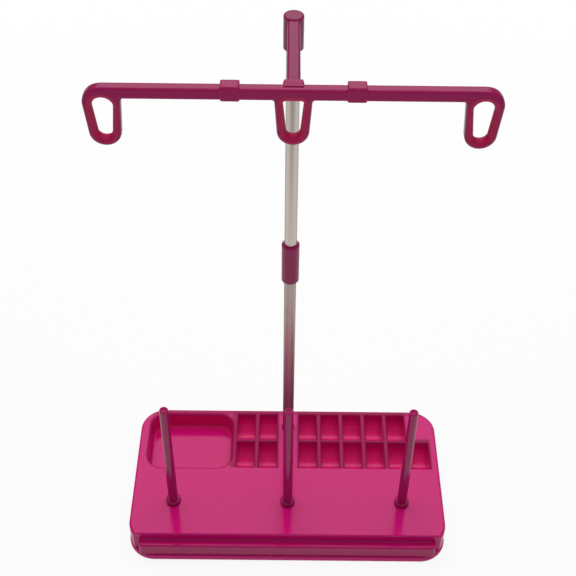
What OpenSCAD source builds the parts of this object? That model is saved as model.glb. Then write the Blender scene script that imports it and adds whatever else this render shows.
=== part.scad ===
// Thread spool stand: a moulded base with a notions tray and bobbin cells, three spool pins,
// a two-piece tube mast and a swivelling guide head with three thread loops.
// Millimetres, +Z up, front towards -Y, origin on the table under the middle of the base.

/* [Base] */
// Width of the base body
base_w = 216; // [206:1:240]
// Depth of the base body from the rear wall to the front outline
base_d = 115.2; // [112:0.4:130]
// Plan radius of the base corners
corner_r = 17.5; // [15:0.5:20]
// Rounded edge along the sides and the rear of the deck
deck_edge_r = 1.8; // [1:0.1:2]
// Thickness of the deck
deck_t = 2.2; // [1.8:0.1:3]
// Thickness of the walls of the base
wall_t = 1.8; // [1.4:0.1:2.2]
// Thickness of the floors of the tray and the bobbin cells
floor_t = 1.8; // [1.4:0.1:2.4]
// Air between the lowest pocket floor and the base plate
under_gap = 1.8; // [1.8:0.1:4]
// Set-back of the front wall from the front outline
step_back = 6.7; // [5.5:0.1:9]
// Rounded edge along the front of the deck
step_edge_r = 0.8; // [0.4:0.1:1.4]
// Thickness of the ribs under the deck
rib_t = 1.6; // [1.2:0.1:2.4]
// Height of the ribs under the deck
rib_h = 8; // [5:0.5:11]

/* [Front pad] */
// Width of the bare pad on the front wall
pad_w = 202; // [180:1:204]
// Drop of the top of the pad below the deck
pad_drop = 6.6; // [5:0.1:10]
// How far the face of the pad lies behind the front outline
pad_inset = 1.1; // [0.2:0.1:2]
// Plan radius of the ends of the pad
pad_r = 2.6; // [2:0.1:3.5]
// Rounded top edge of the pad
pad_edge_r = 1.2; // [0.4:0.1:1.4]
// Hollow fillet between the pad and the front wall
pad_fillet_r = 1.2; // [0.6:0.1:2]

/* [Notions tray] */
// Depth of the tray below the deck
tray_depth = 13.7; // [11:0.1:16]
// Length of the tray from rear to front
tray_len = 47.8; // [40:0.1:54]
// Plan radius of the tray corners
tray_r = 10.5; // [8:0.5:12]
// Fillet between the walls and the floor of the tray
tray_fillet_r = 2.4; // [1.5:0.1:3.5]
// Deck left beside the tray
tray_side = 7.5; // [5:0.1:10]
// Deck left behind the tray
tray_rear = 4.8; // [4:0.1:8]
// Rounded edge around the tray
tray_edge_r = 2; // [0.6:0.1:2.2]

/* [Bobbin cells] */
// Diameter of the bobbins that the cells hold
bobbin_d = 20.3; // [18:0.1:22]
// Thickness of the bobbins
bobbin_t = 11.7; // [9:0.1:12]
// Room at each face of a bobbin
bobbin_face_play = 0.4; // [0.3:0.05:0.8]
// Room around the rim of a bobbin
bobbin_rim_play = 1.15; // [0.5:0.05:1.5]
// Straight wall of a cell above its scooped floor
cell_lip = 2.2; // [1.6:0.1:4]
// Rounded edges along the sides of a cell
cell_edge_r = 1.5; // [0.5:0.1:1.6]
// Rounded edges at the ends of a cell
cell_end_r = 1.3; // [0.5:0.1:1.4]
// Wall between neighbouring columns of cells
cell_divider = 3.7; // [3.2:0.1:5]
// Wall between the two rows of cells
row_divider = 2.8; // [2.7:0.1:4]
// Deck left behind the rear row
cell_margin = 4.2; // [4:0.1:6]
// Least deck left between a cell and the outline
cell_rim = 3.4; // [3.3:0.1:5]
// Columns of cells between the tray and the mast
left_columns = 2; // [1:1:2]
// Deck left for the mast between the two groups of cells
mast_bay = 16.4; // [15.4:0.1:20]

/* [Base plate] */
// Thickness of the base plate
plate_t = 2.2; // [2:0.1:3]
// How far the plate stands out past the body
plate_out = 0.8; // [0.4:0.1:1.5]
// Rounded edge of the plate
plate_edge_r = 1.8; // [1:0.1:1.9]
// Height of the lip that centres the body on the plate
lip_h = 1.4; // [1:0.1:1.5]
// Clearance between the lip and the walls
lip_clear = 0.2; // [0.1:0.05:0.4]

/* [Feet] */
// Diameter of a rubber foot
foot_d = 12; // [8:0.5:14]
// How far the feet stand out below the plate
foot_out = 1; // [0.6:0.1:2]
// Depth of the recess that holds a foot
foot_seat = 1; // [0.6:0.1:1.2]
// Distance of the feet from the sides of the body
foot_inset = 18; // [15:0.5:24]

/* [Screws] */
// Diameter of the shank of a plate screw
screw_d = 2.9; // [2.4:0.1:3.5]
// Diameter of the head of a plate screw
screw_head_d = 5.6; // [5:0.1:6.5]
// Height of the head of a plate screw
screw_head_h = 1.8; // [1.4:0.1:2.2]
// Length of the shank of a plate screw
screw_len = 9; // [7:0.5:10]
// Height of the plate's screw bosses above the plate
screw_boss_h = 2.4; // [2:0.1:3]
// Diameter of the screw bosses
screw_boss_d = 8.4; // [7.6:0.1:9.5]
// Clearance around a screw
screw_clear = 0.2; // [0.1:0.05:0.4]
// Room past the tip of a plate screw
screw_tip_gap = 1; // [0.5:0.1:2]
// Seat left under the head of a plate screw
screw_seat_t = 1.8; // [1.4:0.1:2.2]
// Distance of the outer screws from the sides of the body
screw_side = 11.5; // [9:0.1:14]
// Distance of the middle screws in front of the bobbin cells
screw_front = 11.5; // [8:0.1:14]
// Distance of the rear screw behind the front row of cells
screw_rear = 7; // [6.2:0.1:8]
// Width of the cross recess in a screw head
cross_w = 0.9; // [0.6:0.1:1.2]
// Depth of the cross recess in a screw head
cross_depth = 0.9; // [0.5:0.1:1.2]
// Rim left around the cross recess
cross_rim = 1.1; // [0.8:0.1:1.6]

/* [Mast] */
// Outside diameter of the tubes
tube_d = 7.7; // [6:0.1:9]
// Wall of the tubes
tube_wall = 0.6; // [0.4:0.1:1]
// Radial running clearance on the tubes
tube_fit = 0.05; // [0.02:0.01:0.1]
// Height of the top of the hub above the deck
mast_h = 339.5; // [250:0.5:400]
// Height of the middle of the collar above the deck
collar_z = 165.2; // [120:0.1:190]
// Outside diameter of the collar
collar_d = 11.2; // [10.8:0.1:13]
// Length of the collar
collar_len = 31.6; // [20:0.1:36]
// Chamfer at the ends of the collar
collar_chamfer = 1.1; // [0.6:0.1:1.3]
// Thickness of the web inside the collar
collar_web = 2; // [1:0.1:3]
// Diameter of the mast socket boss under the deck
mast_boss_d = 14; // [12:0.1:15]
// Lead-in chamfer around the mast socket in the deck
socket_lead = 0.8; // [0.4:0.1:1.2]
// Thickness of the floor of the mast socket
mast_seat_t = 2.4; // [2:0.1:3]
// Room under the mast socket for the washer and the screw head
mast_seat_z = 3; // [2.8:0.1:3.4]
// Length of the threaded insert in the foot of the mast
insert_len = 12; // [8:0.5:16]
// Diameter of the mast screw
mast_screw_d = 4; // [3:0.1:4.5]
// Diameter of the head of the mast screw
mast_head_d = 7.4; // [6:0.1:8]
// Height of the head of the mast screw
mast_head_h = 2.6; // [2:0.1:3]
// How far the mast screw reaches into the insert
mast_screw_grip = 8; // [5:0.5:11]
// Diameter of the washer
washer_d = 9; // [8:0.1:10]
// Thickness of the washer
washer_t = 0.8; // [0.5:0.1:1]
// Room around the washer in the plate's access hole
washer_room = 2; // [1:0.1:3]

/* [Guide head] */
// Outside diameter of the hub
hub_d = 11; // [10.2:0.1:13]
// Height of the hub
hub_h = 19.4; // [12:0.1:24]
// Thickness of the closed top of the hub
hub_top_t = 2.4; // [1.6:0.1:4]
// Rounded edge around the top of the hub
hub_edge_r = 1; // [0.3:0.1:1.4]
// Drop of the arm below the top of the hub
arm_drop = 0.7; // [0.4:0.1:2]
// Width of the arm
arm_w = 6.8; // [5:0.1:7.4]
// Height of the arm and the guide bar
bar_h = 6.3; // [5:0.1:7]
// Depth of the guide bar
bar_t = 6.1; // [5:0.1:7]
// Rounded long edges of the arm and the guide bar
bar_edge_r = 1.4; // [0.6:0.1:1.6]
// Length of a socket band
band_len = 9.4; // [7:0.1:14]
// How much a socket band stands out around the bar
band_out = 1; // [0.8:0.1:2]
// How far a socket band is set up and back on the bar
band_rise = 0.4; // [0:0.1:0.6]
// Rounded ends of a socket band
band_edge_r = 0.8; // [0.4:0.1:1.2]
// Distance of the outer face of a socket band from the middle
band_x = 35.2; // [28:0.1:45]
// Length of the socket behind the middle of the bar
rear_socket_len = 2; // [1.4:0.1:5]
// Width of that socket where it leaves the bar
rear_socket_w = 10.4; // [9:0.1:13]
// Width of that socket where it takes the arm
rear_socket_end_w = 9; // [7.6:0.1:10]
// Depth of the tongues that plug the head together
tongue_w = 3.4; // [2.6:0.1:3.6]
// Height of the tongues that plug the head together
tongue_h = 3.6; // [2.6:0.1:3.8]
// Length of the tongues of the side bars
tongue_len = 14; // [8:0.5:17]
// Length of the tongue of the arm
arm_tongue_len = 5.8; // [5:0.1:7]
// Clearance around a tongue
tongue_clear = 0.1; // [0.05:0.01:0.2]
// Room past the end of a tongue
tongue_end_gap = 0.5; // [0.3:0.1:1]

/* [Thread loops] */
// Distance of the outer loops from the middle one
loop_x = 92.2; // [75:0.1:110]
// Width of a loop's hole at the bar
loop_w = 10.2; // [8:0.1:14]
// Height of the holes of the side loops
side_loop_h = 23; // [18:0.1:32]
// Height of the hole of the middle loop
mid_loop_h = 21.8; // [16:0.1:30]
// Drop of the top of the middle loop's hole below the bar
mid_hole_drop = 0.9; // [0.5:0.1:2]
// Radius of the round bottom of a loop's hole
loop_r = 3.6; // [2.8:0.1:3.9]
// Width of the rim around a loop's hole
rim_w = 4.5; // [3.5:0.1:6]
// Rounded edges around the outside of the rim
rim_edge_r = 1.6; // [0.6:0.1:1.8]
// Top corner radius of the rim inside the bar
rim_top_r = 2.4; // [2:0.1:3]
// Fillet between the rim and the bar
rim_fillet_r = 1.6; // [1:0.1:2.4]
// Rounded edges around a loop's hole
hole_edge_r = 2.4; // [1:0.1:2.6]
// Rounded rear edge of the middle loop's hole, under the socket of the arm
mid_rear_edge_r = 1.4; // [0.6:0.1:1.6]
// Radius of the top corners of the middle loop's hole
hole_top_r = 1.8; // [1.2:0.1:3.2]
// Outer corner radius of the side loops
loop_corner_r = 9.2; // [6:0.1:9.4]

/* [Spool pins] */
// Distance of the outer pins from the sides of the base
pin_side = 29; // [20:0.5:48]
// Distance of the pins from the front wall
pin_front = 27; // [20:0.5:36]
// Height of a pin above the deck
pin_h = 98; // [70:0.5:130]
// Diameter of the straight foot of a pin
pin_d = 6.6; // [5.6:0.1:7]
// Diameter of the top of a pin
pin_top_d = 5.8; // [4.6:0.1:6.4]
// Length of the straight foot of a pin
pin_straight = 24; // [15:0.5:40]
// Diameter of the shoulder at the foot of a pin
shoulder_d = 10.2; // [9:0.1:12]
// Height of the shoulder, which is half round outside
shoulder_h = 3; // [2:0.1:4]
// Diameter of the stub that plugs into the deck
pin_stub_d = 5; // [4:0.1:5.6]
// Length of the stub
pin_stub_len = 11; // [8:0.5:12]
// Radial clearance of the stub
pin_fit = 0.06; // [0.03:0.01:0.1]
// Diameter of the dimple in the top of a pin
dimple_d = 3.8; // [1.6:0.1:4.2]
// Depth of the dimple
dimple_h = 1; // [0.6:0.1:2]
// Rounded edge around the top of a pin
pin_top_r = 0.9; // [0.3:0.1:1]
// Wall of the pin sockets under the deck
pin_boss_wall = 2.2; // [1.5:0.1:3]

/* [Hidden] */
$fn = 64;
// Overlap of a cutter past the face that it opens, and of a tongue into its bar
cut = 1;
// Thickness of the thin discs that a loop's hole is hulled from
disc_t = 0.02;
// Facets around the corners of a loop's rim and of its hole
rim_facets = 40;
hole_facets = 32;

magenta = [0.72, 0.07, 0.35];
plum = [0.42, 0.06, 0.22];
steel = [0.74, 0.71, 0.66];
zinc = [0.62, 0.63, 0.66];
rubber = [0.13, 0.12, 0.13];

// Cells: a bobbin stands on its rim in a scoop that is open above
cell_w = bobbin_t + 2 * bobbin_face_play;
cell_len = bobbin_d + 2 * bobbin_rim_play;
scoop_r = cell_len / 2;
cell_depth = scoop_r + cell_lip;
cell_pitch = cell_w + cell_divider;

// Heights of the stack from the table up
plate_z = foot_out;
shell_z = plate_z + plate_t;
shell_h = max(tray_depth, cell_depth) + floor_t + under_gap;
deck_z = shell_z + shell_h;
pad_z = deck_z - pad_drop;
mast_boss_z = shell_z + mast_seat_z;
tube_foot_z = mast_boss_z + mast_seat_t;
joint_z = deck_z + collar_z;
hub_z = deck_z + mast_h;
bar_z = hub_z - arm_drop - bar_h / 2;

// Places in plan
rear_y = base_d / 2;
front_y = -rear_y;
step_y = front_y + step_back;
pin_y = step_y + pin_front;
row_y = [rear_y - cell_margin - scoop_r, rear_y - cell_margin - cell_len - row_divider - scoop_r];
mast_y = row_y[0];
side_x = base_w / 2;
pin_x = side_x - pin_side;
left_group_x = -mast_bay / 2 - left_columns * cell_pitch + cell_divider;
tray_x = [tray_side - side_x, left_group_x - cell_divider];
tray_y = [rear_y - tray_rear - tray_len, rear_y - tray_rear];
tray_size = [tray_x[1] - tray_x[0], tray_y[1] - tray_y[0]];
tray_middle = [(tray_x[0] + tray_x[1]) / 2, (tray_y[0] + tray_y[1]) / 2];
right_columns = floor((side_x - cell_rim - mast_bay / 2 + cell_divider) / cell_pitch);

// A cell fits if its outer rear corner stays inside the rounded corner of the base
function corner_gap(x, y) = corner_r - norm([
    max(0, x - side_x + corner_r), max(0, y - rear_y + corner_r)]);
function columns_in_row(row) = len([for (c = [0 : right_columns - 1])
    if (corner_gap(mast_bay / 2 + c * cell_pitch + cell_w, row_y[row] + scoop_r) >= cell_rim) c]);

// Each run of cells in one row: left edge, row, number of columns
cell_runs = [for (row = [0, 1]) each [
    [left_group_x, row, left_columns],
    [mast_bay / 2, row, columns_in_row(row)]]];

foot_places = [for (y = [-1, 1], x = [-1, 1])
    [x * (side_x - foot_inset), y * (rear_y - foot_inset)]];
screw_places = [
    [screw_side - side_x, pin_y],
    [side_x - screw_side, pin_y],
    [-pin_x / 2, row_y[1] - scoop_r - screw_front],
    [pin_x / 2, row_y[1] - scoop_r - screw_front],
    [side_x - wall_t - screw_rear, row_y[1] + scoop_r + screw_rear]];
pin_places = [[-pin_x, pin_y], [0, pin_y], [pin_x, pin_y]];

// Ball that leaves the dimple in the top of a pin
dimple_r = (pow(dimple_d / 2, 2) + pow(dimple_h, 2)) / (2 * dimple_h);

// Profile of a block's rim from the corner axis outwards, with a rounded top edge
module edge_profile(r, h, e) {
    square([r - e, h]);
    square([r, h - e]);
    translate([r - e, h - e]) intersection() {
        circle(e);
        square(e);
    }
}

// Profile swept around a rectangle with round corners, with x counted from the corner axis
module swept_rim(size, r) for (turn = [0 : 3]) rotate(90 * turn) {
    across = size[turn % 2];
    along = size[1 - turn % 2];
    translate([across / 2 - r, along / 2 - r, 0]) {
        rotate_extrude(angle = 90) children();
        rotate([90, 0, 0]) linear_extrude(along - 2 * r) children();
    }
}

// Block with round plan corners and a rounded top edge, centred in plan
module rounded_block(size, r, h, e) {
    swept_rim(size, r) edge_profile(r, h, e);
    translate([r - size[0] / 2, r - size[1] / 2, 0]) cube([size[0] - 2 * r, size[1] - 2 * r, h]);
}

// Cutter's profile that rounds the deck beside the wall of an opening at x = 0
module lip_profile(e) difference() {
    translate([-cut, -e]) square([e + cut, e + cut]);
    translate([e, -e]) circle(e);
}

// Rectangle with round corners, centred
module round_rect(size, r) {
    square([size[0] - 2 * r, size[1]], center = true);
    square([size[0], size[1] - 2 * r], center = true);
    for (x = [-1, 1], y = [-1, 1]) translate([x * (size[0] / 2 - r), y * (size[1] / 2 - r)]) circle(r);
}

// Plan of the body, drawn in by a distance and cut off straight at the front wall
module body_plan(inset) {
    intersection() {
        round_rect([base_w - 2 * inset, base_d - 2 * inset], corner_r - inset);
        translate([-side_x, step_y + inset]) square([base_w, rear_y - step_y]);
    }
}

// Rod with a rectangular section and rounded long edges, along X from the origin
module bar_rod(length, depth, height, e) {
    rotate([90, 0, 90]) linear_extrude(length) round_rect([depth, height], e);
}

// Walls and scooped floor around a run of bobbin cells, as one trough before its cells are cut
module cell_run(run) {
    length = run[2] * cell_pitch - cell_divider + 2 * wall_t;
    outer_r = scoop_r + wall_t;
    translate([run[0] - wall_t, row_y[run[1]], deck_z - cell_lip]) {
        intersection() {
            rotate([0, 90, 0]) cylinder(r = outer_r, h = length);
            translate([0, -2 * outer_r, -2 * outer_r]) cube([length, 4 * outer_r, 2 * outer_r]);
        }
        translate([0, -outer_r, 0]) cube([length, 2 * outer_r, cell_lip - deck_t / 2]);
    }
}

// One bobbin cell with a rounded edge: its section along the stand meets its section across
module cell_cut(x, row) translate([x, row_y[row], deck_z]) intersection() {
    translate([-cell_edge_r, 0, 0]) rotate([90, 0, 90]) linear_extrude(cell_w + 2 * cell_edge_r) {
        translate([0, -cell_lip]) circle(scoop_r);
        translate([-scoop_r, -cell_lip]) square([cell_len, cell_lip + cut]);
        for (side = [0, 1]) mirror([side, 0]) translate([scoop_r, 0]) lip_profile(cell_end_r);
    }
    translate([cell_w / 2, cell_len, 0]) rotate([90, 0, 0]) linear_extrude(2 * cell_len) {
        translate([-cell_w / 2, -cell_len]) square([cell_w, cell_len + cut]);
        for (side = [0, 1]) mirror([side, 0]) translate([cell_w / 2, 0]) lip_profile(cell_edge_r);
    }
}

// Notions tray as a solid: grown by a wall for the pan, open above for the hollow
module tray_solid(grow, floor_grow, above) translate([tray_middle[0], tray_middle[1], deck_z + above])
    mirror([0, 0, 1]) rounded_block([tray_size[0] + 2 * grow, tray_size[1] + 2 * grow], tray_r + grow,
        tray_depth + floor_grow + above, tray_fillet_r);

// Outside of the base: deck, side walls, straight front wall and the bare pad
module tray_outside() {
    difference() {
        translate([0, 0, shell_z]) rounded_block([base_w, base_d], corner_r, shell_h, deck_edge_r);
        translate([-base_w, step_y - base_d, shell_z - cut]) cube([2 * base_w, base_d, shell_h + 2 * cut]);
        difference() {
            translate([-side_x, step_y - cut, deck_z - step_edge_r])
                cube([base_w, step_edge_r + cut, step_edge_r + cut]);
            translate([-side_x, step_y + step_edge_r, deck_z - step_edge_r])
                rotate([0, 90, 0]) cylinder(r = step_edge_r, h = base_w);
        }
    }
    pad_depth = step_back - pad_inset + wall_t;
    translate([0, step_y + wall_t - pad_depth / 2, shell_z])
        rounded_block([pad_w, pad_depth], pad_r, pad_z - shell_z, pad_edge_r);
    difference() {
        translate([pad_r - pad_w / 2, step_y - pad_fillet_r, pad_z])
            cube([pad_w - 2 * pad_r, pad_fillet_r, pad_fillet_r]);
        translate([-pad_w / 2, step_y - pad_fillet_r, pad_z + pad_fillet_r])
            rotate([0, 90, 0]) cylinder(r = pad_fillet_r, h = pad_w);
    }
}

// Hollow of the base under the deck, and the hollow behind the pad
module tray_hollow() {
    translate([0, 0, shell_z - cut]) linear_extrude(shell_h - deck_t + cut) body_plan(wall_t);
    translate([wall_t - pad_w / 2, step_y - step_back + pad_inset + wall_t, shell_z - cut])
        cube([pad_w - 2 * wall_t, step_back - pad_inset - wall_t, pad_z - shell_z - wall_t + cut]);
}

// Everything that hangs under the deck inside the walls
module tray_underside() {
    under_z = deck_z - deck_t / 2;
    tray_solid(wall_t, floor_t, -deck_t / 2);
    for (run = cell_runs) cell_run(run);
    translate([0, mast_y, mast_boss_z]) cylinder(d = mast_boss_d, h = under_z - mast_boss_z);
    for (p = pin_places) translate([p[0], p[1], deck_z - pin_stub_len - pin_boss_wall])
        cylinder(d = pin_stub_d + 2 * pin_boss_wall, h = pin_stub_len + pin_boss_wall - deck_t / 2);
    for (p = screw_places) translate([p[0], p[1], shell_z + screw_boss_h])
        cylinder(d = screw_boss_d, h = under_z - shell_z - screw_boss_h);
    rib_z = deck_z - deck_t - rib_h;
    translate([wall_t / 2 - side_x, pin_y - rib_t / 2, rib_z])
        cube([base_w - wall_t, rib_t, rib_h + deck_t / 2]);
    for (x = [-pin_x / 2, pin_x / 2]) translate([x - rib_t / 2, step_y + wall_t / 2, rib_z])
        cube([rib_t, row_y[1] - scoop_r - step_y - wall_t / 2, rib_h + deck_t / 2]);
}

module base_tray() color(magenta) difference() {
    union() {
        difference() {
            tray_outside();
            tray_hollow();
        }
        tray_underside();
    }
    tray_solid(0, 0, cut);
    translate([tray_middle[0], tray_middle[1], deck_z])
        swept_rim(tray_size, tray_r) translate([tray_r, 0]) lip_profile(tray_edge_r);
    for (run = cell_runs, c = [0 : run[2] - 1]) cell_cut(run[0] + c * cell_pitch, run[1]);
    translate([0, mast_y, tube_foot_z]) cylinder(d = tube_d + 2 * tube_fit, h = deck_z - tube_foot_z + cut);
    translate([0, mast_y, deck_z - socket_lead]) cylinder(r1 = tube_d / 2 + tube_fit,
        r2 = tube_d / 2 + tube_fit + socket_lead + cut, h = socket_lead + cut);
    translate([0, mast_y, mast_boss_z - cut])
        cylinder(d = mast_screw_d + 2 * screw_clear, h = mast_seat_t + 2 * cut);
    for (p = pin_places) translate([p[0], p[1], deck_z - pin_stub_len])
        cylinder(d = pin_stub_d + 2 * pin_fit, h = pin_stub_len + cut);
    for (p = screw_places) translate([p[0], p[1], shell_z + screw_boss_h - cut])
        cylinder(d = screw_d, h = screw_len + cut);
}

module base_plate() color(magenta) difference() {
    union() {
        translate([0, 0, plate_z])
            rounded_block([base_w + 2 * plate_out, base_d + 2 * plate_out], corner_r + plate_out,
                plate_t, plate_edge_r);
        translate([0, 0, shell_z - plate_t / 2]) linear_extrude(plate_t / 2 + lip_h) difference() {
            body_plan(wall_t + lip_clear);
            body_plan(2 * wall_t + lip_clear);
        }
        for (p = screw_places) translate([p[0], p[1], shell_z - plate_t / 2])
            cylinder(d = screw_boss_d, h = plate_t / 2 + screw_boss_h);
    }
    for (p = foot_places) translate([p[0], p[1], plate_z - cut]) cylinder(d = foot_d, h = foot_seat + cut);
    for (p = screw_places) translate([p[0], p[1], plate_z - cut]) {
        cylinder(d = screw_head_d + 2 * screw_clear, h = plate_t + screw_boss_h - screw_seat_t + cut);
        cylinder(d = screw_d + 2 * screw_clear, h = plate_t + screw_boss_h + 2 * cut);
    }
    translate([0, mast_y, plate_z - cut]) cylinder(d = washer_d + 2 * washer_room, h = plate_t + 2 * cut);
}

// Screw head with a cross recess, hanging below its seat at z = 0
module screw_head(d, h) translate([0, 0, -h]) difference() {
    cylinder(d = d, h = h);
    for (turn = [0, 90]) rotate(turn)
        cube([d - 2 * cross_rim, cross_w, 2 * cross_depth], center = true);
}

module base_screws() color(zinc) for (p = screw_places)
    translate([p[0], p[1], shell_z + screw_boss_h - screw_seat_t]) {
        screw_head(screw_head_d, screw_head_h);
        cylinder(d = screw_d, h = screw_seat_t + screw_len - screw_tip_gap);
    }

module foot(place) color(rubber) translate([place[0], place[1], 0]) rotate_extrude() {
    square([foot_d / 2 - foot_out / 2, foot_out + foot_seat]);
    translate([0, foot_out / 2]) square([foot_d / 2, foot_out / 2 + foot_seat]);
    translate([foot_d / 2 - foot_out / 2, foot_out / 2]) circle(foot_out / 2);
}

module foot_front_left() foot(foot_places[0]);
module foot_front_right() foot(foot_places[1]);
module foot_rear_left() foot(foot_places[2]);
module foot_rear_right() foot(foot_places[3]);

// Length of tube standing on the mast axis
module tube(z0, z1) color(steel) translate([0, mast_y, z0]) difference() {
    cylinder(d = tube_d, h = z1 - z0);
    translate([0, 0, -cut]) cylinder(d = tube_d - 2 * tube_wall, h = z1 - z0 + 2 * cut);
}

module mast_lower_tube() tube(tube_foot_z, joint_z - collar_web / 2);
module mast_upper_tube() tube(joint_z + collar_web / 2, hub_z - hub_top_t);

module mast_foot_insert() color(zinc) translate([0, mast_y, tube_foot_z]) difference() {
    cylinder(d = tube_d - 2 * tube_wall, h = insert_len);
    translate([0, 0, -cut]) cylinder(d = mast_screw_d, h = insert_len + 2 * cut);
}

module mast_washer() color(zinc) translate([0, mast_y, mast_boss_z - washer_t]) difference() {
    cylinder(d = washer_d, h = washer_t);
    translate([0, 0, -cut]) cylinder(d = mast_screw_d + 2 * screw_clear, h = washer_t + 2 * cut);
}

module mast_screw() color(zinc) translate([0, mast_y, mast_boss_z - washer_t]) {
    screw_head(mast_head_d, mast_head_h);
    cylinder(d = mast_screw_d, h = washer_t + mast_seat_t + mast_screw_grip);
}

module mast_collar() color(plum) translate([0, mast_y, joint_z]) difference() {
    rotate_extrude() polygon([
        [0, -collar_len / 2], [collar_d / 2 - collar_chamfer, -collar_len / 2],
        [collar_d / 2, collar_chamfer - collar_len / 2], [collar_d / 2, collar_len / 2 - collar_chamfer],
        [collar_d / 2 - collar_chamfer, collar_len / 2], [0, collar_len / 2]]);
    for (side = [0, 1]) mirror([0, 0, side]) translate([0, 0, collar_web / 2])
        cylinder(d = tube_d + 2 * tube_fit, h = collar_len / 2);
}

module guide_arm() color(plum) {
    socket_y = pin_y + bar_t / 2 + rear_socket_len;
    difference() {
        union() {
            translate([0, mast_y, hub_z - hub_h])
                rotate_extrude() edge_profile(hub_d / 2, hub_h, hub_edge_r);
            translate([0, socket_y, bar_z]) rotate(90) bar_rod(mast_y - socket_y, arm_w, bar_h, bar_edge_r);
        }
        translate([0, mast_y, hub_z - hub_h - cut])
            cylinder(d = tube_d + 2 * tube_fit, h = hub_h - hub_top_t + cut);
    }
    translate([0, socket_y, bar_z]) rotate(-90) tongue(arm_tongue_len, 0, 0);
}

// Tongue along +X from a shoulder at x = 0, rooted behind it; grown, it is the slot for one
module tongue(length, grow, end_gap) translate([-cut, -tongue_w / 2 - grow, -tongue_h / 2 - grow])
    cube([cut + length + end_gap, tongue_w + 2 * grow, tongue_h + 2 * grow]);

// Corner discs of a loop, each with x, z and radius: its round bottom and its two top corners.
// The underside of the bar is at z = 0, and the outer side of a side loop faces +X.
function loop_discs(height, grow, top, outer_r, inner_r) = let (half = loop_w / 2 + grow) [
    [0, loop_r - height, loop_r + grow],
    [half - outer_r, top - outer_r, outer_r],
    [inner_r - half, top - inner_r, inner_r]];

// Half width of a loop at a height on its straight side, which touches top disc a and bottom disc b
function side_half(a, b, z) = let (
    up = [a[0] - b[0], a[1] - b[1]],
    tilt = atan2(up[1], up[0]) - acos((b[2] - a[2]) / norm(up)))
    a[0] + (a[2] + (a[1] - z) * sin(tilt)) / cos(tilt);

// Thickness of the rim and how far it is drawn in, at a turn around its rounded edge
function rim_t(turn) = bar_t - 2 * rim_edge_r * (1 - sin(turn));
function rim_in(turn) = rim_edge_r * (1 - cos(turn));

// Rim of a thread loop with a fillet into the bar at each side listed
module loop_rim(discs, fillet_sides) {
    hull() for (d = discs, turn = [0 : 30 : 90]) translate([d[0], 0, d[1]]) rotate([90, 0, 0])
        cylinder(r = d[2] - rim_in(turn), h = rim_t(turn), center = true, $fn = rim_facets);
    for (side = fillet_sides, turn = [0 : 30 : 60]) mirror([side < 0 ? 1 : 0, 0, 0])
        translate([side_half([-discs[2][0], discs[2][1], discs[2][2]], discs[0], -rim_fillet_r), 0, 0])
            difference() {
                translate([-rim_fillet_r, -rim_t(turn) / 2, -rim_fillet_r])
                    cube([2 * rim_fillet_r, rim_t(turn), 2 * rim_fillet_r]);
                translate([rim_fillet_r, 0, -rim_fillet_r]) rotate([90, 0, 0])
                    cylinder(r = rim_fillet_r + rim_in(turn), h = bar_t, center = true);
            }
}

// Hole of a thread loop, as hulls of thin discs, with a rounded edge at each face
module loop_hole(discs, rear_r) {
    hull() hole_discs(discs, [-bar_t, bar_t], 0);
    for (side = [-1, 1], turn = [0, 45]) hull() for (t = [turn, turn + 45]) {
        r = side > 0 ? rear_r : hole_edge_r;
        hole_discs(discs, [side * (bar_t / 2 - r * (1 - sin(t)))], r * (1 - cos(t)));
    }
}
module hole_discs(discs, depths, grow) for (d = discs, y = depths) translate([d[0], y, d[1]])
    rotate([90, 0, 0]) cylinder(r = d[2] + grow, h = disc_t, center = true, $fn = hole_facets);

// Socket band with rounded ends, from the origin along +X
module socket_band() translate([band_len / 2, band_rise, band_rise]) for (side = [0, 1]) mirror([side, 0, 0])
    rotate([90, 0, 90]) rounded_block([bar_t + 2 * band_out, bar_h + 2 * band_out], bar_edge_r,
        band_len / 2, band_edge_r);

// Socket behind the middle of the bar: its plan is drawn in and its top rises towards the arm
module rear_socket() {
    end_y = bar_t / 2 + rear_socket_len;
    high = bar_h / 2 + band_out;
    intersection() {
        rotate(90) bar_rod(end_y, rear_socket_w, 2 * high, bar_edge_r);
        linear_extrude(4 * high, center = true) polygon([
            [-rear_socket_w / 2, 0], [rear_socket_w / 2, 0], [rear_socket_w / 2, bar_t / 2],
            [rear_socket_end_w / 2, end_y], [-rear_socket_end_w / 2, end_y],
            [-rear_socket_w / 2, bar_t / 2]]);
        rotate([90, 0, 90]) linear_extrude(2 * rear_socket_w, center = true) polygon([
            [-bar_t / 2, band_out - high], [bar_t / 2, -high], [2 * end_y, -3 * high],
            [2 * end_y, 3 * high], [bar_t / 2, high], [-bar_t / 2, high - band_out]]);
    }
}

module guide_bar_centre() color(plum) translate([0, pin_y, bar_z]) difference() {
    union() {
        translate([-band_x, 0, 0]) bar_rod(2 * band_x, bar_t, bar_h, bar_edge_r);
        for (x = [-band_x, band_x - band_len]) translate([x, 0, 0]) socket_band();
        rear_socket();
        translate([0, 0, -bar_h / 2])
            loop_rim(loop_discs(mid_loop_h, rim_w, bar_h, rim_top_r, rim_top_r), [-1, 1]);
    }
    translate([0, 0, -bar_h / 2])
        loop_hole(loop_discs(mid_loop_h, 0, -mid_hole_drop, hole_top_r, hole_top_r), mid_rear_edge_r);
    for (side = [0, 1]) mirror([side, 0, 0]) translate([band_x, 0, 0]) rotate(180)
        tongue(tongue_len, tongue_clear, tongue_end_gap);
    translate([0, bar_t / 2 + rear_socket_len, 0]) rotate(-90)
        tongue(arm_tongue_len, tongue_clear, tongue_end_gap);
}

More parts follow.
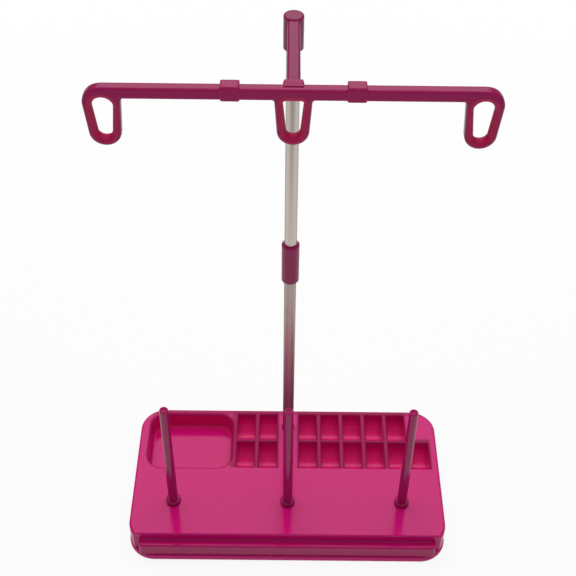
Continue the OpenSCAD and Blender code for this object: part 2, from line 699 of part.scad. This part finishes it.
// Right-hand side bar; the left one is its mirror image
module side_bar() translate([0, pin_y, bar_z]) difference() {
    union() {
        translate([band_x, 0, 0]) bar_rod(loop_x - band_x, bar_t, bar_h, bar_edge_r);
        translate([band_x, 0, 0]) rotate(180) tongue(tongue_len, 0, 0);
        translate([loop_x, 0, -bar_h / 2])
            loop_rim(loop_discs(side_loop_h, rim_w, bar_h, loop_corner_r, rim_top_r), [-1]);
    }
    translate([loop_x, 0, -bar_h / 2])
        loop_hole(loop_discs(side_loop_h, 0, 0, loop_w / 2, loop_w / 2), hole_edge_r);
}

module guide_bar_left() color(plum) mirror([1, 0, 0]) side_bar();
module guide_bar_right() color(plum) side_bar();

module spool_pin(place) color(plum) translate([place[0], place[1], deck_z])
    rotate_extrude() difference() {
    union() {
        polygon([
            [0, -pin_stub_len], [pin_stub_d / 2, -pin_stub_len], [pin_stub_d / 2, 0],
            [(shoulder_d - shoulder_h) / 2, 0], [(shoulder_d - shoulder_h) / 2, shoulder_h],
            [pin_d / 2, shoulder_h], [pin_d / 2, shoulder_h + pin_straight],
            [pin_top_d / 2, pin_h - pin_top_r], [pin_top_d / 2 - pin_top_r, pin_h], [0, pin_h]]);
        translate([(shoulder_d - shoulder_h) / 2, shoulder_h / 2]) circle(shoulder_h / 2);
        translate([pin_top_d / 2 - pin_top_r, pin_h - pin_top_r]) circle(pin_top_r);
    }
    translate([0, pin_h - dimple_h + dimple_r]) circle(dimple_r);
}

module spool_pin_left() spool_pin(pin_places[0]);
module spool_pin_middle() spool_pin(pin_places[1]);
module spool_pin_right() spool_pin(pin_places[2]);

base_tray();
base_plate();
base_screws();
foot_front_left();
foot_front_right();
foot_rear_left();
foot_rear_right();
mast_lower_tube();
mast_foot_insert();
mast_screw();
mast_washer();
mast_collar();
mast_upper_tube();
guide_arm();
guide_bar_centre();
guide_bar_left();
guide_bar_right();
spool_pin_left();
spool_pin_middle();
spool_pin_right();
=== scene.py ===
# %% [markdown]
# # A thread spool stand, dressed in Blender
#
# This is a free-standing stand for sewing thread: a glossy moulded base with a notions tray and bobbin
# cells, three pins for the spools, and a tube mast whose swivelling head leads the threads. The solids
# come ready-made in the frame, in metres, so this lesson is about looking: the camera, the light, and
# finishes that behave like polished plastic, drawn tube, zinc and rubber.

# %% Load the stand
import math

import bpy
from mathutils import Matrix, Vector


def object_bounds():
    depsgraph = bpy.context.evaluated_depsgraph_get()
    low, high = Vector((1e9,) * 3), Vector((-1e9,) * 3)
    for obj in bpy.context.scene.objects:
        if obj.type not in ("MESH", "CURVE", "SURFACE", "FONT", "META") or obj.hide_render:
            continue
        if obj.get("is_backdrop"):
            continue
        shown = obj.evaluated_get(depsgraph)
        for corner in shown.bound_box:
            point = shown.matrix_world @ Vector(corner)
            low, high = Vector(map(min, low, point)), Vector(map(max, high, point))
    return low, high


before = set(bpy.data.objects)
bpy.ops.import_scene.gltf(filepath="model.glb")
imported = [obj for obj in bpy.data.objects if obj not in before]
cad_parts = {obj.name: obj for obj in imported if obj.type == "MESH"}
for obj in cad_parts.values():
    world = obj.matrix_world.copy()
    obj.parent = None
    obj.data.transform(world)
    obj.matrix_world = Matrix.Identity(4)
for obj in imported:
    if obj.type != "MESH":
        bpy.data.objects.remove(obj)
cad_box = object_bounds()

# %% [markdown]
# ## The camera
#
# A camera can be placed by eye, but a product shot repays measuring. The corners of the deck and the ends
# of the pins fix where the lens was: about 0.65 m above the table, in front of the stand, looking down at
# 44 degrees, with the camera turned very slightly on its own axis. The sensor is 36 mm wide, so the focal
# length in pixels of a 576-pixel frame turns straight into millimetres.

# %% Place the camera
FRAME_PX, FOCAL_PX = 576, 1079.5
SENSOR_MM = 36
CAMERA_AT = Vector((-0.0028, -0.4598, 0.6471))
PITCH, YAW, ROLL = (math.radians(a) for a in (43.99, 0.17, 0.71))

forward = Vector((math.sin(YAW) * math.cos(PITCH), math.cos(YAW) * math.cos(PITCH), -math.sin(PITCH)))
level_right = Vector((math.cos(YAW), -math.sin(YAW), 0))
level_up = level_right.cross(forward)
right = math.cos(ROLL) * level_right + math.sin(ROLL) * level_up
up = math.cos(ROLL) * level_up - math.sin(ROLL) * level_right

scene = bpy.context.scene
camera = bpy.data.objects.new("product_camera", bpy.data.cameras.new("product_camera"))
scene.collection.objects.link(camera)
camera.data.sensor_width = SENSOR_MM
camera.data.lens = FOCAL_PX / FRAME_PX * SENSOR_MM
camera.matrix_world = Matrix.Translation(CAMERA_AT) @ Matrix((right, up, -forward)).transposed().to_4x4()
scene.camera = camera
print("camera:", round(camera.data.lens, 1), "mm lens,", round(CAMERA_AT.length, 3), "m from the base")

# %% [markdown]
# ## Small tools for nodes
#
# Light and finishes are graphs of nodes. Laying them by hand in the editor suits one material and tires
# for ten, so a few helpers add the nodes that come up again and again. Each takes a socket or a plain
# value and gives back the socket to go on with, so a pattern reads like a sum.

# %% Helpers for sums
def feed(tree, value, socket):
    """Links a socket to another one, or writes a plain value into it."""
    if isinstance(value, bpy.types.NodeSocket):
        tree.links.new(value, socket)
    else:
        socket.default_value = value


def new_node(tree, kind, **values):
    """Adds a node and feeds the sockets named, with underscores for spaces."""
    node = tree.nodes.new(kind)
    for name, value in values.items():
        feed(tree, value, node.inputs[name.replace("_", " ")])
    return node


def math_node(tree, operation, first, second=None):
    """Works out one or two numbers."""
    node = tree.nodes.new("ShaderNodeMath")
    node.operation = operation
    for socket, value in zip(node.inputs, (first, second)):
        if value is not None:
            feed(tree, value, socket)
    return node.outputs[0]


def times(tree, first, second):
    """Product of two numbers."""
    return math_node(tree, "MULTIPLY", first, second)


def larger(tree, first, second):
    """Larger one of two numbers."""
    return math_node(tree, "MAXIMUM", first, second)


def ramp(tree, value, low, high, at_low=0.0, at_high=1.0):
    """Carries a number from one range to another with soft ends."""
    node = new_node(tree, "ShaderNodeMapRange", Value=value, From_Min=low, From_Max=high,
                    To_Min=at_low, To_Max=at_high)
    node.interpolation_type = "SMOOTHSTEP"
    return node.outputs["Result"]


print("sums ready")

# %% Helpers for places and rays
def axes_of(tree, vector):
    """Splits a vector into X, Y and Z."""
    return new_node(tree, "ShaderNodeSeparateXYZ", Vector=vector).outputs


def measure(tree, operation, vector, other=None):
    """Measures a vector by itself or against another one."""
    node = tree.nodes.new("ShaderNodeVectorMath")
    node.operation = operation
    for socket, value in zip(node.inputs, (vector, other)):
        if value is not None:
            feed(tree, value, socket)
    return node.outputs["Value"]


def rays_of(tree):
    """Tells the camera's own rays, and the mirrored ones, from the rest."""
    rays = tree.nodes.new("ShaderNodeLightPath").outputs
    return rays["Is Camera Ray"], larger(tree, rays["Is Glossy Ray"], rays["Is Transmission Ray"])


print("places and rays ready")

# %% [markdown]
# ## The light
#
# The stand was shot in a white tent. Soft light comes from all sides, most of it from above and behind, so
# the deck is bright and the walls that face the camera are darker. What the glossy faces mirror is another
# matter: the back wall of the tent is white, the ceiling and the open front are dim. That is why the deck
# and the arm mirror white while rounded edges stay dark and full in colour. So the world has two levels,
# told apart by the Light Path node: soft light that changes slowly with the direction, and for reflections
# a white back wall that fades out around it. The camera itself sees plain white.

# %% Hang the tent
WHITE = (1, 1, 1, 1)
SOFT_LEVEL = 0.18
SOFT_LEAN = Vector((0, 0.09, 0.19))
DIM_LEVEL = 0.12
BACK_WALL = Vector((0, 0.643, 0.766))
WALL_ENDS, WALL_FULL = 0.88, 0.945

scene.view_settings.view_transform = "Standard"
world = bpy.data.worlds.new("white_tent")
scene.world = world
world.use_nodes = True
sky = world.node_tree
direction = sky.nodes.new("ShaderNodeTexCoord").outputs["Generated"]
soft = math_node(sky, "ADD", measure(sky, "DOT_PRODUCT", direction, SOFT_LEAN), SOFT_LEVEL)
wall = ramp(sky, measure(sky, "DOT_PRODUCT", direction, BACK_WALL), WALL_ENDS, WALL_FULL, DIM_LEVEL, 1)
camera_ray, mirrored = rays_of(sky)
level = new_node(sky, "ShaderNodeMix", Factor=mirrored, A=soft, B=wall)
background = sky.nodes["Background"]
background.inputs["Color"].default_value = WHITE
feed(sky, larger(sky, camera_ray, level.outputs["Result"]), background.inputs["Strength"])
print("tent: soft light of", round(SOFT_LEVEL + SOFT_LEAN.z, 2), "from above, and a white back wall")

# %% [markdown]
# ## The lamps
#
# One large softbox hangs behind and above, so shadows fall softly towards the camera and the ledge under
# the front edge of the deck lies in shade. A small lamp in front, held to a narrow cone, lifts the guide
# head a little. The tent already gives the glossy faces something to mirror, so reflections leave both
# lamps out.

# %% Set the lamps
def softbox(name, place, aim, size, watts, spread):
    """Hangs an even rectangular lamp that reflections don't show."""
    lamp = bpy.data.objects.new(name, bpy.data.lights.new(name, "AREA"))
    lamp.data.shape = "RECTANGLE"
    lamp.data.size, lamp.data.size_y = size
    lamp.data.energy = watts
    lamp.data.spread = math.radians(spread)
    lamp.location = place
    lamp.rotation_euler = (Vector(aim) - lamp.location).to_track_quat("-Z", "Y").to_euler()
    lamp.visible_glossy = False
    scene.collection.objects.link(lamp)
    print(name, watts, "W")


softbox("rear_softbox", place=(0, 0.5, 1.4), aim=(0, 0, 0.05), size=(1.6, 1.2), watts=16, spread=180)
softbox("head_fill", place=(0, -1.3, 0.75), aim=(0, 0, 0.42), size=(0.25, 0.25), watts=0.22, spread=30)

# %% [markdown]
# ## The floor
#
# The floor is a sheet of white paper. Lit alone it would look grey, and more light would bleach the stand
# as well. The Light Path node lets the camera see it bleached instead: nearly white around the stand, where
# it keeps the shadow, and fully white further out, so that no horizon shows from a low angle. Reflections
# see the lit paper with a smaller share of white. For them it darkens a hand's length in front of the
# stand, where the glossy parts of the head mirror the dim room.

# %% Lay the floor
FLOOR_SIZE = 12

bpy.ops.mesh.primitive_plane_add(size=FLOOR_SIZE, location=(0, 0, 0))
floor = bpy.context.object
floor.name = "studio_floor"
white_paper = bpy.data.materials.new("white_paper")
white_paper.use_nodes = True
white_paper.cycles.emission_sampling = "NONE"
paper = white_paper.node_tree
paper.nodes.clear()
floor.data.materials.append(white_paper)
floor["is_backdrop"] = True
print("floor:", floor.name, FLOOR_SIZE, "m wide")

# %% Bleach the paper
PAPER_GREY = (0.9, 0.9, 0.9, 1)
PAPER_ENDS, PAPER_STARTS = -0.42, -0.2
ROOM_LEVEL, PAPER_LEVEL = 0.33, 0.75
FADE_STARTS, FADE_ENDS = 0.25, 0.9
SEEN_WHITE, MIRRORED_WHITE = 0.9, 0.35

spot = paper.nodes.new("ShaderNodeTexCoord").outputs["Object"]
camera_ray, mirrored = rays_of(paper)
sheet = ramp(paper, axes_of(paper, spot)["Y"], PAPER_ENDS, PAPER_STARTS, ROOM_LEVEL, PAPER_LEVEL)
lit = larger(paper, math_node(paper, "SUBTRACT", 1.0, mirrored), sheet)
shade = new_node(paper, "ShaderNodeHueSaturation", Color=PAPER_GREY, Value=lit)
matt = new_node(paper, "ShaderNodeBsdfDiffuse", Color=shade.outputs["Color"])
bleach = new_node(paper, "ShaderNodeEmission", Color=WHITE, Strength=lit)
seen = ramp(paper, measure(paper, "LENGTH", spot), FADE_STARTS, FADE_ENDS, SEEN_WHITE, 1)
share = larger(paper, times(paper, camera_ray, seen), times(paper, mirrored, MIRRORED_WHITE))
both = paper.nodes.new("ShaderNodeMixShader")
for socket, value in zip(both.inputs, (share, matt.outputs[0], bleach.outputs[0])):
    paper.links.new(value, socket)
new_node(paper, "ShaderNodeOutputMaterial", Surface=both.outputs[0])
print(white_paper.name, "with", len(paper.nodes), "nodes")

# %% [markdown]
# ## A start for every finish
#
# Each finish is a Principled shader with the same three layers of small variety that real parts have: a
# slow drift in colour, a fine change in roughness from handling, and a surface that isn't quite flat.
# The nodes are placed by the object's own coordinates, which the solids share with the table, so a
# pattern keeps its true size and moves with its piece.

# %% Start a finish
PLACE = "Object"


def start_finish(name, roughness, metallic=0.0):
    """Makes a material with a Principled shader and gives back its tree, shader and coordinates.

    The roughness is the plain level, for a viewer that doesn't read the nodes laid over it.
    """
    material = bpy.data.materials.new(name)
    material.use_nodes = True
    tree = material.node_tree
    shader = tree.nodes["Principled BSDF"]
    shader.inputs["Roughness"].default_value = roughness
    shader.inputs["Metallic"].default_value = metallic
    place = tree.nodes.new("ShaderNodeTexCoord").outputs[PLACE]
    return material, tree, shader, place


def surface(tree, shader, colour, gloss):
    """Gives a shader its colour and its roughness."""
    tree.links.new(colour, shader.inputs["Base Color"])
    tree.links.new(gloss, shader.inputs["Roughness"])


print("finishes are placed by", PLACE, "coordinates")

# %% Patterns for a finish
MICRON = 1e-6
NOISE_LOW, NOISE_HIGH = 0.3, 0.7


def grain(tree, place, scale, detail=2.0, stretch=(1, 1, 1)):
    """Noise at a scale per metre, stretched along the axes if asked."""
    sized = new_node(tree, "ShaderNodeMapping", Vector=place, Scale=stretch)
    noise = new_node(tree, "ShaderNodeTexNoise", Vector=sized.outputs["Vector"], Scale=scale, Detail=detail)
    return noise.outputs["Fac"]


def between(tree, noise, low, high):
    """Carries the usual range of a noise over to a range of values."""
    node = new_node(tree, "ShaderNodeMapRange", Value=noise, From_Min=NOISE_LOW, From_Max=NOISE_HIGH,
                    To_Min=low, To_Max=high)
    return node.outputs["Result"]


def blend(tree, share, first, second):
    """Carries a first colour over to a second one by a share, each a socket or a written colour."""
    mix = tree.nodes.new("ShaderNodeMix")
    mix.data_type = "RGBA"
    tree.links.new(share, mix.inputs["Factor"])
    for name, colour in (("A", first), ("B", second)):
        feed(tree, (*colour, 1) if isinstance(colour, tuple) else colour, mix.inputs[name])
    return mix.outputs["Result"]


def ripple(tree, shader, height, depth):
    """Lets a height pattern disturb the surface by a depth in metres."""
    bump = new_node(tree, "ShaderNodeBump", Distance=depth, Strength=1.0, Height=height)
    tree.links.new(bump.outputs["Normal"], shader.inputs["Normal"])


print("patterns ready, noise read from", NOISE_LOW, "to", NOISE_HIGH)

# %% [markdown]
# ## Magenta moulding
#
# The base is polished ABS, dyed through. A mould polished by hand leaves a faint orange peel a few
# millimetres across, which is what makes a mirror image in plastic swim slightly, so the bump is broad and
# only ten microns deep. The dye drifts a little with the flow of the melt. The plate under the base is a
# moulding of its own; its colour is set a shade lighter than the deck's, which brightens the lip along the
# bottom.

# %% Magenta gloss
MAGENTA, MAGENTA_DEEP = (0.675, 0.004, 0.192), (0.635, 0.004, 0.176)
PLATE_PINK, PLATE_PINK_DEEP = (0.95, 0.055, 0.34), (0.91, 0.05, 0.315)


def magenta_finish(name, bright, deep):
    """Polished magenta plastic that drifts between two tones, and its colour and gloss to work on."""
    material, tree, shader, place = start_finish(name, roughness=0.13)
    colour = blend(tree, grain(tree, place, scale=14), bright, deep)
    gloss = between(tree, grain(tree, place, scale=700, detail=4), 0.1, 0.17)
    surface(tree, shader, colour, gloss)
    ripple(tree, shader, grain(tree, place, scale=260), 10 * MICRON)
    return material, tree, shader, place, colour, gloss


magenta_plate = magenta_finish("magenta_plate", PLATE_PINK, PLATE_PINK_DEEP)[0]
magenta, tree, shader, place, colour, gloss = magenta_finish("magenta_gloss", MAGENTA, MAGENTA_DEEP)
print(magenta.name, "and", magenta_plate.name)

# %% [markdown]
# ## Ribs, cells and tray
#
# Light soaks a little way into dyed plastic. A thin rib loses it through its sides, so the ribs between the
# cells, the strip behind them and the rim of the tray look deeper and duller than the broad deck; that is
# painted shade in their colour, with a duller gloss. The pad in front of the step lies in the shade of the
# deck's edge and gets a little painted shade too. The scooped cells and the rear wall of the tray gather
# light between their faces and glow, and the glow is painted into their colour. Subsurface light would do
# this slowly and with noise. All these forms lie where the solid says, so the place carries it here: bands
# across X and Y pick out the strips, the distance from the tray's outline finds its rim and wall, and the
# height tells a rib from the floor of a cell.

# %% Find a place on the deck
SOFT = 0.0015
TRAY_MIDDLE, TRAY_HALF, TRAY_R = (-0.07055, 0.0289), (0.02995, 0.0239), 0.0105


def apart(tree, value, middle):
    """How far a number lies from a middle, on either side."""
    return math_node(tree, "ABSOLUTE", math_node(tree, "SUBTRACT", value, middle))


def band(tree, value, ends):
    """One between two ends, with a soft edge outside them."""
    middle, half = (ends[0] + ends[1]) / 2, (ends[1] - ends[0]) / 2
    return ramp(tree, apart(tree, value, middle), half, half + SOFT, 1, 0)


def tray_distance(tree, axes):
    """Distance from the rounded outline of the tray, less than nothing inside it."""
    reach = tree.nodes.new("ShaderNodeCombineXYZ")
    for axis, (middle, half) in enumerate(zip(TRAY_MIDDLE, TRAY_HALF)):
        past = math_node(tree, "SUBTRACT", apart(tree, axes[axis], middle), half - TRAY_R)
        tree.links.new(larger(tree, past, 0.0), reach.inputs[axis])
    return math_node(tree, "SUBTRACT", measure(tree, "LENGTH", reach.outputs[0]), TRAY_R)


at = axes_of(tree, place)
from_tray = tray_distance(tree, at)
print("tray of", *(round(2000 * half, 1) for half in TRAY_HALF), "mm, edges softened over", SOFT * 1000, "mm")

# %% Paint a glow into the cells and the tray
DECK_Z, CELLS_FRONT, CELLS_REAR = 0.0205, 0.0054, 0.0534
ALL_CELLS = (-0.038, 0.103)
CELL_PAINTED_GLOW, TRAY_PAINTED_GLOW = (0.77, 0.004, 0.19), (0.8, 0.006, 0.185)
GLOW_FULL_Z, GLOW_ENDS_Z = 0.0115, 0.0165
WALL_IN, WALL_STARTS_Y, WALL_FULL_Y = 0.003, 0.04, 0.049

rows = times(tree, band(tree, at["X"], ALL_CELLS), band(tree, at["Y"], (CELLS_FRONT, CELLS_REAR)))
depth = ramp(tree, at["Z"], GLOW_FULL_Z, GLOW_ENDS_Z, 1, 0)
# Painted glow: below the deck the cells turn a lighter magenta, for light gathered between their faces.
colour = blend(tree, times(tree, rows, depth), colour, CELL_PAINTED_GLOW)
around = times(tree, ramp(tree, from_tray, -WALL_IN - SOFT, -WALL_IN),
               math_node(tree, "LESS_THAN", from_tray, SOFT))
behind = times(tree, around, ramp(tree, at["Y"], WALL_STARTS_Y, WALL_FULL_Y))
tray_wall = times(tree, behind, ramp(tree, at["Z"], DECK_Z - 2 * SOFT, DECK_Z - SOFT, 1, 0))
# Painted glow: the tray's rear wall turns lighter in the same way.
colour = blend(tree, tray_wall, colour, TRAY_PAINTED_GLOW)
print("cells glow below", GLOW_ENDS_Z * 1000, "mm, the tray's wall behind", WALL_STARTS_Y * 1000, "mm")

# %% Paint shade on the ribs
RIB_PAINTED_SHADE, RIB_DULLNESS = (0.36, 0.004, 0.085), 0.3
REAR_SHADE_SHARE, PAD_SHADE_SHARE = 0.75, 0.45
RIM_ENDS, ROWS_MEET, STEP_Y = 0.0032, 0.0308, -0.0509
LEFT_CELLS, RIGHT_CELLS, LAST_CELL = (-0.0406, -0.0072), (0.0072, 0.0865), (0.0855, 0.1027)

last_column = times(tree, band(tree, at["X"], LAST_CELL),
                    ramp(tree, at["Y"], ROWS_MEET, ROWS_MEET + SOFT, 1, 0))
columns = larger(tree, band(tree, at["X"], LEFT_CELLS), band(tree, at["X"], RIGHT_CELLS))
block = times(tree, larger(tree, columns, last_column),
              ramp(tree, at["Y"], CELLS_FRONT - SOFT, CELLS_FRONT))
rear = ramp(tree, at["Y"], CELLS_REAR - SOFT, CELLS_REAR, 0, REAR_SHADE_SHARE)
rim = ramp(tree, from_tray, 0, RIM_ENDS, 1, 0)
strips = larger(tree, larger(tree, block, rim), rear)
ribs = times(tree, strips, ramp(tree, at["Z"], DECK_Z - SOFT, DECK_Z - SOFT / 4))
# Painted shade on the pad in front of the step, which lies in the shade of the deck's edge.
pad = ramp(tree, at["Y"], STEP_Y - SOFT, STEP_Y - SOFT / 4, PAD_SHADE_SHARE, 0)
# Painted shade: the ribs, the strip behind the cells, the tray's rim and the pad blend towards a deeper
# colour.
colour = blend(tree, larger(tree, ribs, pad), colour, RIB_PAINTED_SHADE)
gloss = math_node(tree, "ADD", gloss, times(tree, ribs, RIB_DULLNESS))
surface(tree, shader, colour, gloss)
print("ribs deepened above", round((DECK_Z - SOFT) * 1000, 1), "mm in", len(tree.nodes), "nodes")

# %% [markdown]
# ## Plum moulding
#
# The pins, the collar and the guide head are the same plastic in a darker plum. It is painted in three shades
# that stand in for light and shade: the pins are the lightest, painted light for the light they catch from
# the front; the bars and the collar are deeper; the arm, whose top is lit from above, is the deepest, as
# painted shade. Around the holes of the thread loops the wall is thin, and light soaks through it until it
# glows crimson. The glow could be left to subsurface light, which is slow and noisy in so small a piece. Here
# it is a painted glow, carried by the distance from the edge of the hole: the hole is a slot with round top
# corners that narrows to a round bottom, and close to it the colour warms and the gloss dulls.

# %% Find the thread holes
BAR_UNDER, LOOP_OUT = 0.353, 0.0922
CENTRE_TOP, CENTRE_LOWEST, SIDE_LOWEST = BAR_UNDER - 0.0009, BAR_UNDER - 0.0218, BAR_UNDER - 0.023
HOLE_TOP_HALF, HOLE_BOTTOM_R, HOLE_CORNER_R = 0.0051, 0.0036, 0.0018
HOLES = {
    "centre": (0, CENTRE_TOP, CENTRE_LOWEST, HOLE_CORNER_R),
    "left": (-LOOP_OUT, BAR_UNDER, SIDE_LOWEST, HOLE_TOP_HALF),
    "right": (LOOP_OUT, BAR_UNDER, SIDE_LOWEST, HOLE_TOP_HALF),
}


def hole_distance(tree, place, hole):
    """Distance from the edge of a thread hole, given its middle, top, lowest point and top corners."""
    middle, top, lowest, corner = hole
    axes = axes_of(tree, place)
    bottom, shoulder = lowest + HOLE_BOTTOM_R, top - corner

    def up_the_hole(at_bottom, at_shoulder):
        node = new_node(tree, "ShaderNodeMapRange", Value=axes["Z"], From_Min=bottom, From_Max=shoulder,
                        To_Min=at_bottom, To_Max=at_shoulder)
        return node.outputs["Result"]

    beside = math_node(tree, "SUBTRACT", apart(tree, axes["X"], middle),
                       up_the_hole(0.0, HOLE_TOP_HALF - corner))
    above = math_node(tree, "SUBTRACT", axes["Z"], up_the_hole(bottom, shoulder))
    reach = new_node(tree, "ShaderNodeCombineXYZ", X=larger(tree, beside, 0.0), Z=above)
    return math_node(tree, "SUBTRACT", measure(tree, "LENGTH", reach.outputs[0]),
                     up_the_hole(HOLE_BOTTOM_R, corner))


print(len(HOLES), "thread holes,", round((BAR_UNDER - SIDE_LOWEST) * 1000, 1), "mm deep at the sides")

# %% Plum gloss
# Painted light and shade: the pins' plum is lighter and the arm's plum deeper than the bars' plum.
PLUM, PLUM_DEEP = (0.43, 0.012, 0.125), (0.4, 0.011, 0.115)
BAR_PLUM, BAR_PLUM_DEEP = (0.3, 0.008, 0.088), (0.28, 0.007, 0.08)
ARM_PLUM, ARM_PLUM_DEEP = (0.235, 0.007, 0.074), (0.22, 0.006, 0.068)
CRIMSON_PAINTED_GLOW, HOLE_DULLNESS = (0.42, 0.002, 0.068), 0.45
GLOW_FULL, GLOW_ENDS = 0.0018, 0.0035


def plum_finish(name, bright, deep, hole=None):
    """Dark plum plastic, with a painted crimson glow close to a thread hole."""
    material, tree, shader, place = start_finish(name, roughness=0.1)
    colour = blend(tree, grain(tree, place, scale=30), bright, deep)
    gloss = between(tree, grain(tree, place, scale=900, detail=4), 0.07, 0.14)
    if hole:
        glow = ramp(tree, hole_distance(tree, place, hole), GLOW_FULL, GLOW_ENDS, 1, 0)
        # Painted glow: close to the hole the colour turns crimson.
        colour = blend(tree, glow, colour, CRIMSON_PAINTED_GLOW)
        gloss = math_node(tree, "ADD", gloss, times(tree, glow, HOLE_DULLNESS))
    surface(tree, shader, colour, gloss)
    ripple(tree, shader, grain(tree, place, scale=420), 6 * MICRON)
    return material


plum = plum_finish("plum_gloss", PLUM, PLUM_DEEP)
plum_arm = plum_finish("plum_arm", ARM_PLUM, ARM_PLUM_DEEP)
plum_collar = plum_finish("plum_collar", BAR_PLUM, BAR_PLUM_DEEP)
plum_loops = {side: plum_finish(f"plum_{side}_loop", BAR_PLUM, BAR_PLUM_DEEP, hole)
              for side, hole in HOLES.items()}
print(plum.name, "and", len(plum_loops), "loops that glow within", GLOW_ENDS * 1000, "mm of the hole")

# %% [markdown]
# ## Drawn tube
#
# The mast is thin steel tube. Drawing pulls fine lines along it, so the noise is squeezed around the tube and
# stretched along its length, and it changes roughness as well as height. Plain steel loses some of its shine
# at a flat angle, which darkens the two edges of a tube. The upper length is painted brighter than the lower
# one, standing in for the stronger light higher up, and one function makes both. Near the foot painted shade
# makes the colour a darker grey, and the gloss dulls.

# %% Satin steel
EDGE_TINT = (0.45, 0.43, 0.42, 1)
FOOT_PAINTED_SHADE, FOOT_DULLNESS = (0.4, 0.42, 0.41), 0.15
FOOT_FULL, FOOT_ENDS = 0.03, 0.15


def tube_finish(name, bright, warm, smooth, rough):
    """Drawn steel with fine lines along the tube, between two tones and two roughnesses, with painted shade
    and a duller gloss at the foot.
    """
    material, tree, shader, place = start_finish(name, roughness=rough, metallic=1.0)
    lines = grain(tree, place, scale=900, detail=5, stretch=(1, 1, 0.006))
    foot = ramp(tree, axes_of(tree, place)["Z"], FOOT_FULL, FOOT_ENDS, 1, 0)
    # Painted shade: near the foot the colour turns a darker grey.
    colour = blend(tree, foot, blend(tree, lines, bright, warm), FOOT_PAINTED_SHADE)
    gloss = math_node(tree, "ADD", between(tree, lines, smooth, rough), times(tree, foot, FOOT_DULLNESS))
    surface(tree, shader, colour, gloss)
    shader.inputs["Specular Tint"].default_value = EDGE_TINT
    ripple(tree, shader, lines, 4 * MICRON)
    return material


# Painted light: the upper tube's colours are brighter than the lower tube's, for the stronger light higher
# up.
steel_upper = tube_finish("satin_tube_upper", bright=(0.93, 0.83, 0.75), warm=(0.87, 0.77, 0.69),
                          smooth=0.24, rough=0.38)
steel_lower = tube_finish("satin_tube_lower", bright=(0.7, 0.65, 0.59), warm=(0.64, 0.59, 0.53),
                          smooth=0.3, rough=0.45)
print(steel_upper.name, "and", steel_lower.name)

# %% [markdown]
# ## Zinc and rubber
#
# Under the base sit zinc-plated screws and rubber feet. Plating has a cloudy, faintly mottled shine, and
# rubber is dull, dusty and pitted. In both, one pattern moves the tone, the roughness and the height
# together, so one function makes them.

# %% Zinc and rubber finishes
ZINC_BRIGHT, ZINC_GREY = (0.6, 0.61, 0.64), (0.45, 0.47, 0.5)
RUBBER_BLACK, RUBBER_DUST = (0.016, 0.015, 0.016), (0.03, 0.028, 0.029)


def mottled_finish(name, tones, gloss, pattern, depth, **start):
    """A finish whose tone, roughness and height follow one noise."""
    material, tree, shader, place = start_finish(name, **start)
    noise = grain(tree, place, **pattern)
    surface(tree, shader, blend(tree, noise, *tones), between(tree, noise, *gloss))
    ripple(tree, shader, noise, depth)
    return material


zinc = mottled_finish("zinc_plate", (ZINC_BRIGHT, ZINC_GREY), gloss=(0.25, 0.45),
                      pattern={"scale": 1200, "detail": 3}, depth=10 * MICRON, roughness=0.35, metallic=1.0)
rubber = mottled_finish("foot_rubber", (RUBBER_BLACK, RUBBER_DUST), gloss=(0.7, 0.95),
                        pattern={"scale": 2500, "detail": 6}, depth=50 * MICRON, roughness=0.8)
print(zinc.name, "and", rubber.name)

# %% [markdown]
# ## Dress the pieces
#
# The solids keep their own shapes, so dressing them is a matter of putting the right finish in each
# piece's material slot.

# %% Assign the finishes
FINISHES = {
    "base_tray": magenta, "base_plate": magenta_plate, "base_screws": zinc,
    "foot_front_left": rubber, "foot_front_right": rubber,
    "foot_rear_left": rubber, "foot_rear_right": rubber,
    "mast_lower_tube": steel_lower, "mast_upper_tube": steel_upper, "mast_collar": plum_collar,
    "mast_foot_insert": zinc, "mast_screw": zinc, "mast_washer": zinc,
    "guide_arm": plum_arm, "guide_bar_centre": plum_loops["centre"],
    "guide_bar_left": plum_loops["left"], "guide_bar_right": plum_loops["right"],
    "spool_pin_left": plum, "spool_pin_middle": plum, "spool_pin_right": plum,
}
for name, finish in FINISHES.items():
    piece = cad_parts[name]
    piece.data.materials.clear()
    piece.data.materials.append(finish)
print("dressed", len(FINISHES), "pieces")

# %% [markdown]
# ## Softer facets
#
# The rims of the thread loops are rounded all the way round, and the frame brings them as narrow flat
# facets. Remodelling them would change the solid, so only the way light reads them changes: the facets are
# welded, creases of more than 50 degrees stay, and the normals even out over the rest, the large faces
# leading.

# %% Even out the loops
CREASE, WELD_REACH = math.radians(50), 1e-6

for name in ("guide_bar_centre", "guide_bar_left", "guide_bar_right"):
    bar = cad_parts[name]
    weld = bar.modifiers.new("weld_facets", "WELD")
    weld.merge_threshold = WELD_REACH
    crease = bar.modifiers.new("keep_creases", "EDGE_SPLIT")
    crease.split_angle = CREASE
    even = bar.modifiers.new("even_normals", "WEIGHTED_NORMAL")
    even.keep_sharp = True
    print(name, len(bar.data.polygons), "facets evened")

# %% [markdown]
# ## The size at the end
#
# Dressing must not change the size of the stand. A box around the pieces was taken after loading, and a
# second one is taken now. The largest difference between them is printed.

# %% Finish
visual_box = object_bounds()
moved = max(abs(a - b) for c, v in zip(cad_box, visual_box) for a, b in zip(c, v))
print("size kept to", round(moved * 1000, 3), "mm")
